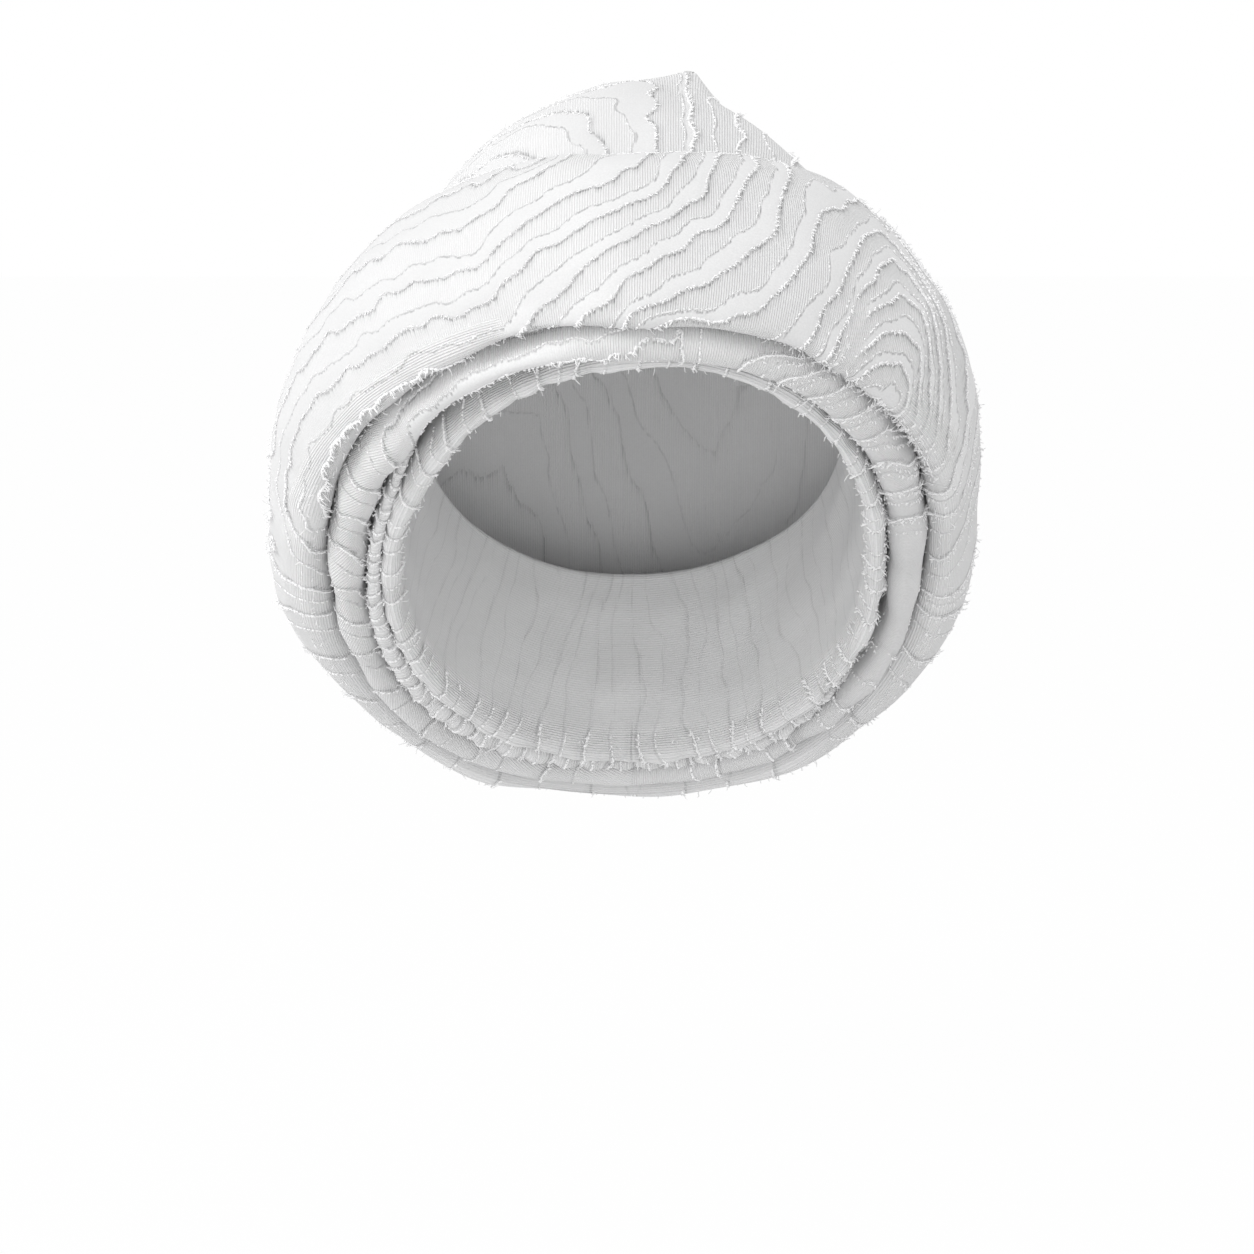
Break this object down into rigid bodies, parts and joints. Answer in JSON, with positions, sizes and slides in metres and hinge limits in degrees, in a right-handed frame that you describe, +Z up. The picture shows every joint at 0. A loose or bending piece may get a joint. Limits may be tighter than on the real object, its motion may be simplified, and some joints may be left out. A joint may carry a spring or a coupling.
{
  "type": "head wrap",
  "caption": "Soft jacquard head wrap wound in nested folds round the face, with a broad cuff, puffed inner rolls and a peaked crown.",
  "frame": {"origin": "centre of the head opening, in the plane of its rim", "axes": "+Z up as worn, -Y forwards, +X to the right of someone facing the wearer"},
  "size_m": [0.2379, 0.2305, 0.2545],
  "materials": {
    "jacquard": "matt white clipped jacquard with raised contour lines"
  },
  "bodies": {
    "root": {"crown": "jacquard", "outer_cuff": "jacquard", "middle_roll": "jacquard", "inner_tuck": "jacquard", "inner_band": "jacquard"}
  },
  "joints": []
}
